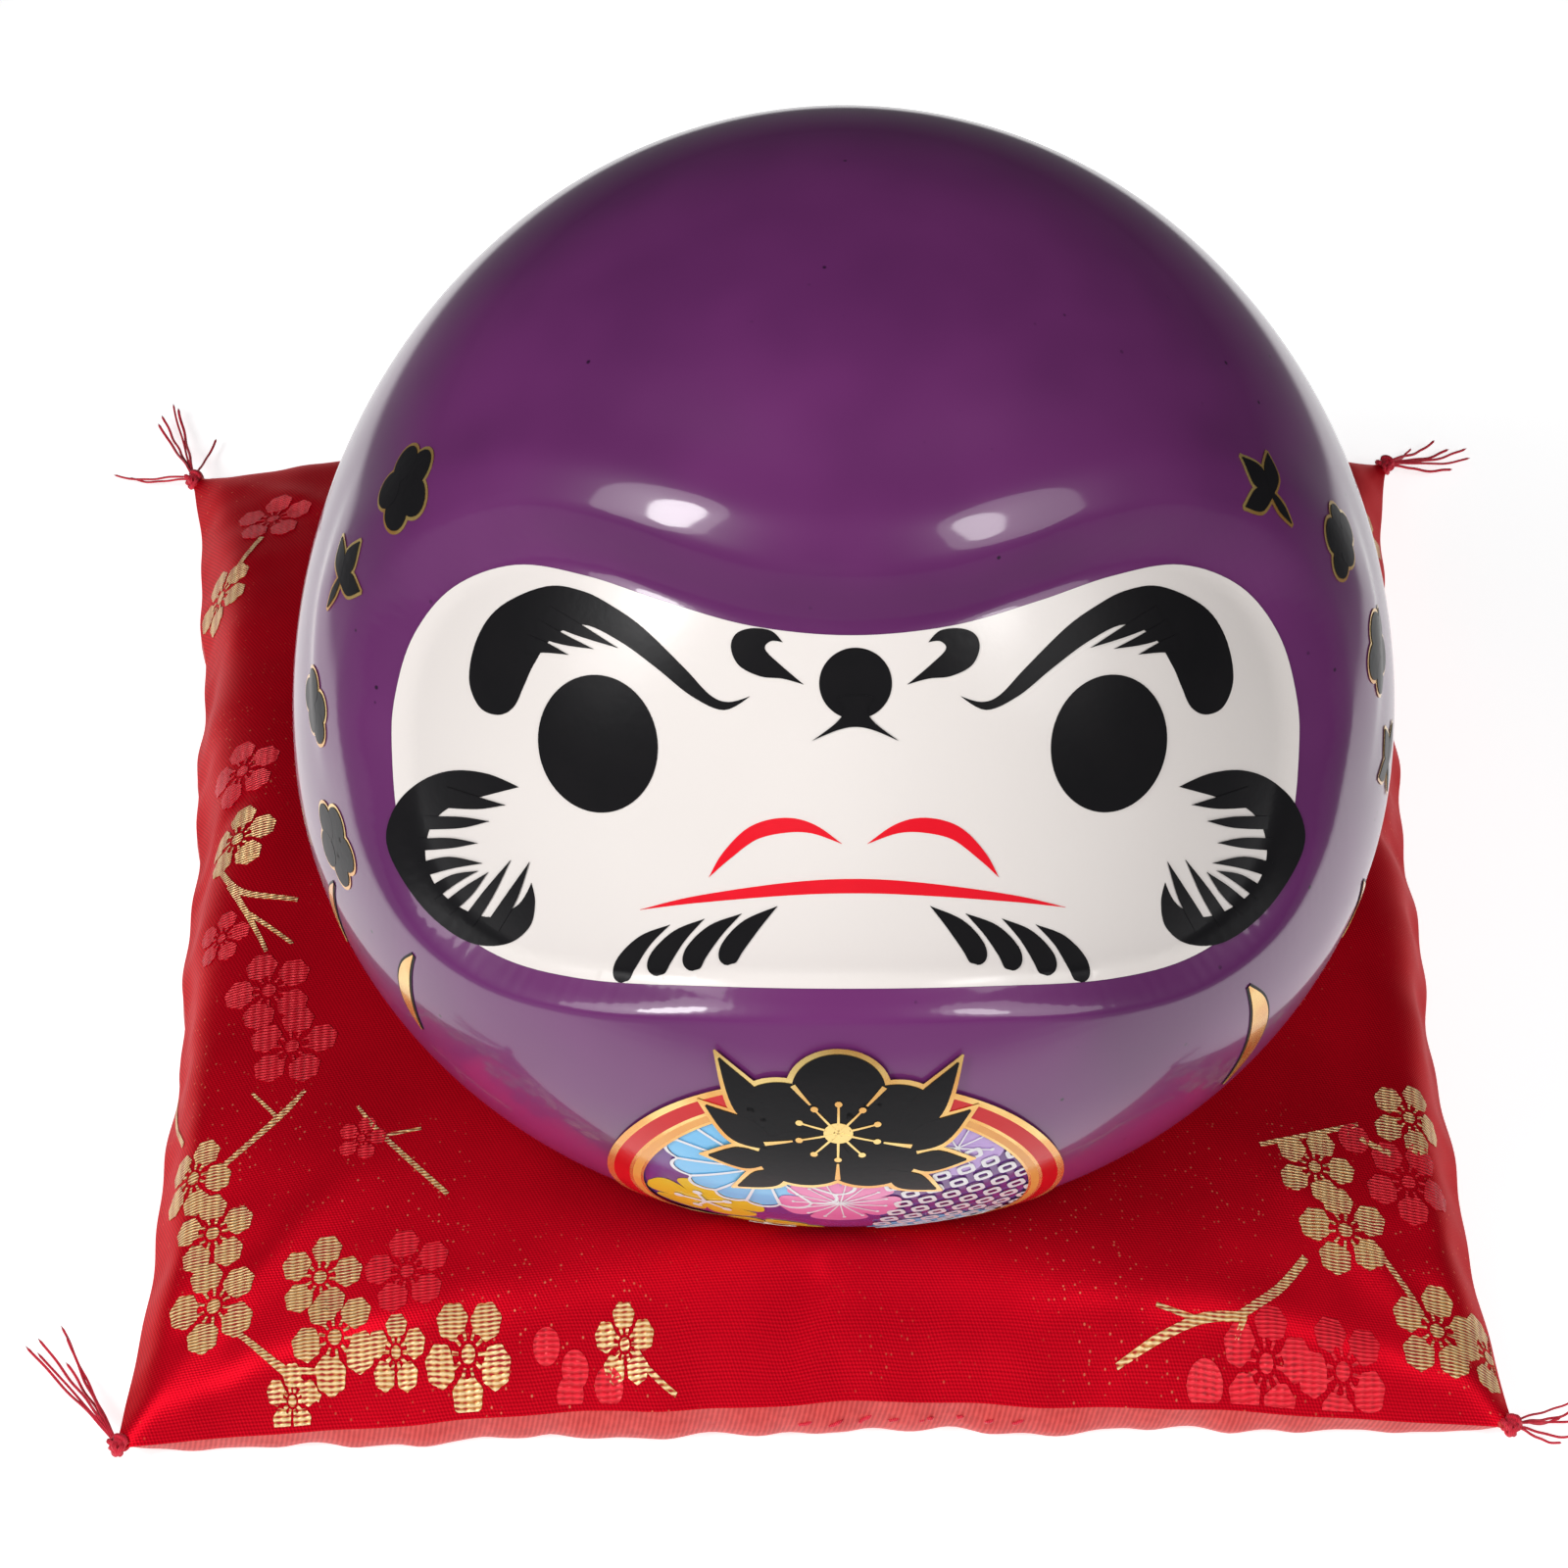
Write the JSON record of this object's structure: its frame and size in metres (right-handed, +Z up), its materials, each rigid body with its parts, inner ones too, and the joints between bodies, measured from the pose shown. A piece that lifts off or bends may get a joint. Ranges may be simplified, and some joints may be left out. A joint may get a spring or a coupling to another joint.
{
  "type": "daruma doll on a cushion",
  "caption": "Round hollow glazed ceramic daruma doll with a sunken pale face and gilt motifs, standing on a square filled brocade cushion with corner tassels.",
  "frame": {"origin": "middle of the cushion's underside, on the surface that it lies on", "axes": "+Z up, the doll faces -Y, +X is to the right of someone who faces the doll"},
  "size_m": [0.1552, 0.1488, 0.1087],
  "materials": {
    "glazed_ceramic": "gloss purple glaze with a satin white face and fired gilt decoration",
    "brocade": "red satin brocade with gilt and red woven blossoms",
    "twill": "plain coral red twill",
    "wadding": "loose cotton filling",
    "sewing_thread": "matt cotton thread",
    "tassel_thread": "glossy twisted rayon thread"
  },
  "bodies": {
    "cushion": {"brocade_top_panel": "brocade", "twill_bottom_panel": "twill", "wadding": "wadding", "closing_stitches": "sewing_thread", "corner_knot_front_left": "tassel_thread", "corner_knot_front_right": "tassel_thread", "corner_knot_back_left": "tassel_thread", "corner_knot_back_right": "tassel_thread"},
    "doll": {"ceramic_shell": "glazed_ceramic"},
    "tassel_front_left": {"tassel_front_left": "tassel_thread"},
    "tassel_front_right": {"tassel_front_right": "tassel_thread"},
    "tassel_back_left": {"tassel_back_left": "tassel_thread"},
    "tassel_back_right": {"tassel_back_right": "tassel_thread"}
  },
  "joints": [
    {"name": "doll_lift", "type": "slide", "parent": "cushion", "child": "doll", "axis": [0, 0, 1], "range_m": [0, 0.12]},
    {"name": "tassel_front_left_swing", "type": "hinge", "parent": "cushion", "child": "tassel_front_left", "pos_m": [-0.06581, -0.06581, 0.003], "axis": [0.788, 0.6157, 0], "range_deg": [0, 90]},
    {"name": "tassel_front_right_swing", "type": "hinge", "parent": "cushion", "child": "tassel_front_right", "pos_m": [0.06581, -0.06581, 0.003], "axis": [0.2588, -0.9659, 0], "range_deg": [0, 90]},
    {"name": "tassel_back_left_swing", "type": "hinge", "parent": "cushion", "child": "tassel_back_left", "pos_m": [-0.06581, 0.06581, 0.003], "axis": [0.9511, 0.309, 0], "range_deg": [0, 90]},
    {"name": "tassel_back_right_swing", "type": "hinge", "parent": "cushion", "child": "tassel_back_right", "pos_m": [0.06581, 0.06581, 0.003], "axis": [0.5446, -0.8387, 0], "range_deg": [0, 90]}
  ]
}
